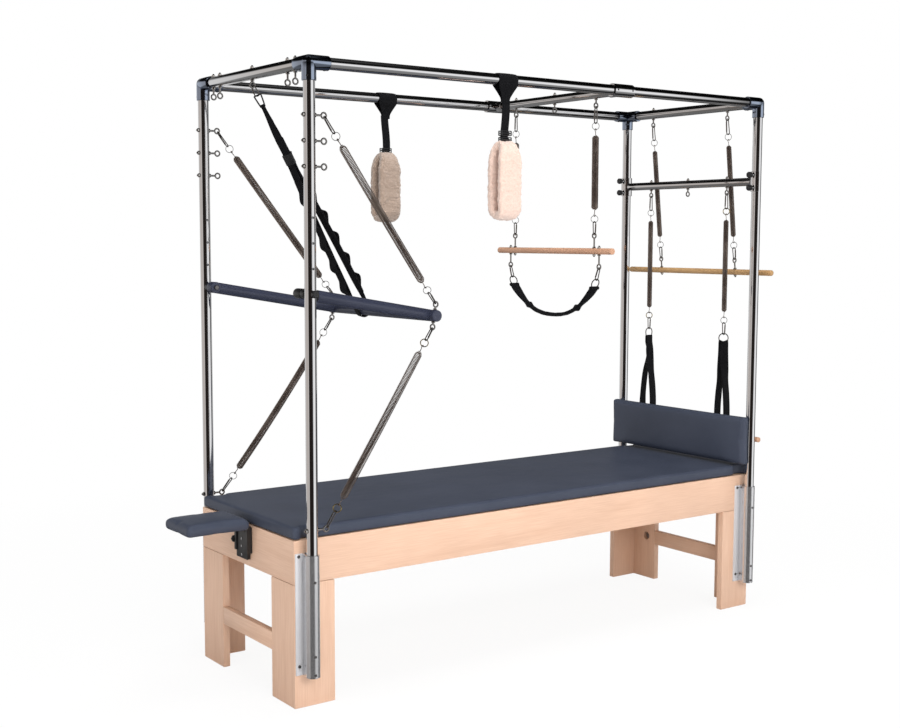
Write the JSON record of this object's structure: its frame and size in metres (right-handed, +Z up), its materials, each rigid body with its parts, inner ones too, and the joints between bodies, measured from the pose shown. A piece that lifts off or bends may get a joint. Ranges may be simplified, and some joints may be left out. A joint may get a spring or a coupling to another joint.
{
  "type": "pilates trapeze table",
  "caption": "Raised wooden exercise bed with a mat and a steel tube canopy carrying sprung bars, straps, a trapeze with a sling and fleece loops.",
  "frame": {"origin": "centre of the bounding box's bottom face, on the floor", "axes": "+X along the bed towards the roll-down end, +Y across it away from the pictured side, +Z up"},
  "size_m": [2.582, 0.891, 2.206],
  "materials": {
    "maple": "satin lacquer",
    "plywood": "raw",
    "vinyl": "grained vinyl",
    "aluminium": "brushed",
    "chrome": "polished",
    "black_plastic": "satin",
    "slate_paint": "satin powder coat",
    "spring_steel": "oiled",
    "dowel": "oiled",
    "webbing": "woven",
    "fleece": "fleece"
  },
  "bodies": {
    "table": {"side_rail_front": "maple", "side_rail_back": "maple", "end_apron_left": "maple", "end_apron_right": "maple", "leg_front_left": "maple", "leg_front_right": "maple", "leg_back_left": "maple", "leg_back_right": "maple", "stretcher_left": "maple", "stretcher_right": "maple", "deck_panel": "plywood", "mat": "vinyl", "bracket_front_left": "aluminium", "bracket_front_right": "aluminium", "bracket_back_left": "aluminium", "bracket_back_right": "aluminium", "post_front_left": "chrome", "post_front_right": "chrome", "post_back_left": "chrome", "post_back_right": "chrome", "corner_front_left": "chrome", "corner_front_right": "chrome", "corner_back_left": "chrome", "corner_back_right": "chrome", "rail_top_front": "chrome", "rail_top_back": "chrome", "rail_top_left": "chrome", "rail_top_right": "chrome", "headboard_pad": "vinyl", "headboard_backer": "plywood", "headboard_dowel": "dowel", "rest_plate": "black_plastic", "through_spring_front_upper": "spring_steel", "through_spring_front_lower": "spring_steel", "through_spring_back_upper": "spring_steel", "through_spring_back_lower": "spring_steel", "safety_strap": "webbing"},
    "through_bar": {"push_through_bar": "slate_paint"},
    "top_crossbar": {"crossbar_top": "chrome"},
    "trapeze": {"trapeze_spring_front": "spring_steel", "trapeze_spring_back": "spring_steel", "trapeze_bar": "dowel", "trapeze_sling": "webbing"},
    "low_crossbar": {"crossbar_low": "chrome"},
    "clamp_knob_front_upper_turn": {"clamp_knob_front_upper": "black_plastic"},
    "clamp_knob_front_lower_turn": {"clamp_knob_front_lower": "black_plastic"},
    "clamp_knob_back_upper_turn": {"clamp_knob_back_upper": "black_plastic"},
    "clamp_knob_back_lower_turn": {"clamp_knob_back_lower": "black_plastic"},
    "loop_front": {"loop_spring_front": "spring_steel", "hand_loop_front": "webbing"},
    "loop_back": {"loop_spring_back": "spring_steel", "hand_loop_back": "webbing"},
    "roll_down": {"rolldown_spring_front": "spring_steel", "rolldown_spring_back": "spring_steel", "rolldown_bar": "dowel"},
    "fleece_front": {"fleece_loop_front": "fleece"},
    "fleece_back": {"fleece_loop_back": "fleece"},
    "end_rest": {"rest_arm": "black_plastic", "rest_pad": "vinyl"},
    "rest_knob_turn": {"rest_knob": "black_plastic"}
  },
  "joints": [
    {"name": "through_bar_swing", "type": "hinge", "parent": "table", "child": "through_bar", "pos_m": [-0.96925, 0, 1.422], "axis": [0, -1, 0], "range_deg": [0, 25.8], "stiffness_Nm_per_rad": 45, "springref_deg": -14.32, "deforming": ["through_spring_front_upper", "through_spring_back_upper", "through_spring_front_lower", "through_spring_back_lower", "safety_strap"]},
    {"name": "top_crossbar_slide", "type": "slide", "parent": "table", "child": "top_crossbar", "axis": [1, 0, 0], "range_m": [-0.42, 0.6]},
    {"name": "trapeze_swing", "type": "hinge", "parent": "top_crossbar", "child": "trapeze", "pos_m": [0.41875, 0, 2.13179], "axis": [0, 1, 0], "range_deg": [-25, 25]},
    {"name": "low_crossbar_slide", "type": "slide", "parent": "table", "child": "low_crossbar", "axis": [0, 0, 1], "range_m": [-0.11, 0]},
    {"name": "clamp_knob_front_upper_hinge", "type": "hinge", "parent": "low_crossbar", "child": "clamp_knob_front_upper_turn", "pos_m": [1.17415, -0.398, 1.88], "axis": [-1, 0, 0], "range_deg": [0, 360]},
    {"name": "clamp_knob_front_lower_hinge", "type": "hinge", "parent": "low_crossbar", "child": "clamp_knob_front_lower_turn", "pos_m": [1.17415, -0.398, 1.826], "axis": [-1, 0, 0], "range_deg": [0, 360]},
    {"name": "clamp_knob_back_upper_hinge", "type": "hinge", "parent": "low_crossbar", "child": "clamp_knob_back_upper_turn", "pos_m": [1.17415, 0.398, 1.88], "axis": [-1, 0, 0], "range_deg": [0, 360]},
    {"name": "clamp_knob_back_lower_hinge", "type": "hinge", "parent": "low_crossbar", "child": "clamp_knob_back_lower_turn", "pos_m": [1.17415, 0.398, 1.826], "axis": [-1, 0, 0], "range_deg": [0, 360]},
    {"name": "loop_front_swing", "type": "hinge", "parent": "low_crossbar", "child": "loop_front", "pos_m": [1.20675, -0.232, 1.8005], "axis": [1, 0, 0], "range_deg": [-4, 10]},
    {"name": "loop_back_swing", "type": "hinge", "parent": "low_crossbar", "child": "loop_back", "pos_m": [1.20675, 0.232, 1.8005], "axis": [1, 0, 0], "range_deg": [-10, 4]},
    {"name": "roll_down_swing", "type": "hinge", "parent": "table", "child": "roll_down", "pos_m": [1.20675, 0, 2.12779], "axis": [0, -1, 0], "range_deg": [0, 60]},
    {"name": "fleece_front_swing", "type": "hinge", "parent": "table", "child": "fleece_front", "pos_m": [-0.15325, -0.398, 2.18], "axis": [1, 0, 0], "range_deg": [-45, 20]},
    {"name": "fleece_back_swing", "type": "hinge", "parent": "table", "child": "fleece_back", "pos_m": [-0.15325, 0.398, 2.18], "axis": [1, 0, 0], "range_deg": [-20, 45]},
    {"name": "end_rest_slide", "type": "slide", "parent": "table", "child": "end_rest", "axis": [0, 0, 1], "range_m": [-0.012, 0.03]},
    {"name": "rest_knob_hinge", "type": "hinge", "parent": "end_rest", "child": "rest_knob_turn", "pos_m": [-1.03005, 0.0509, 0.52], "axis": [0, 1, 0], "range_deg": [0, 360]}
  ]
}
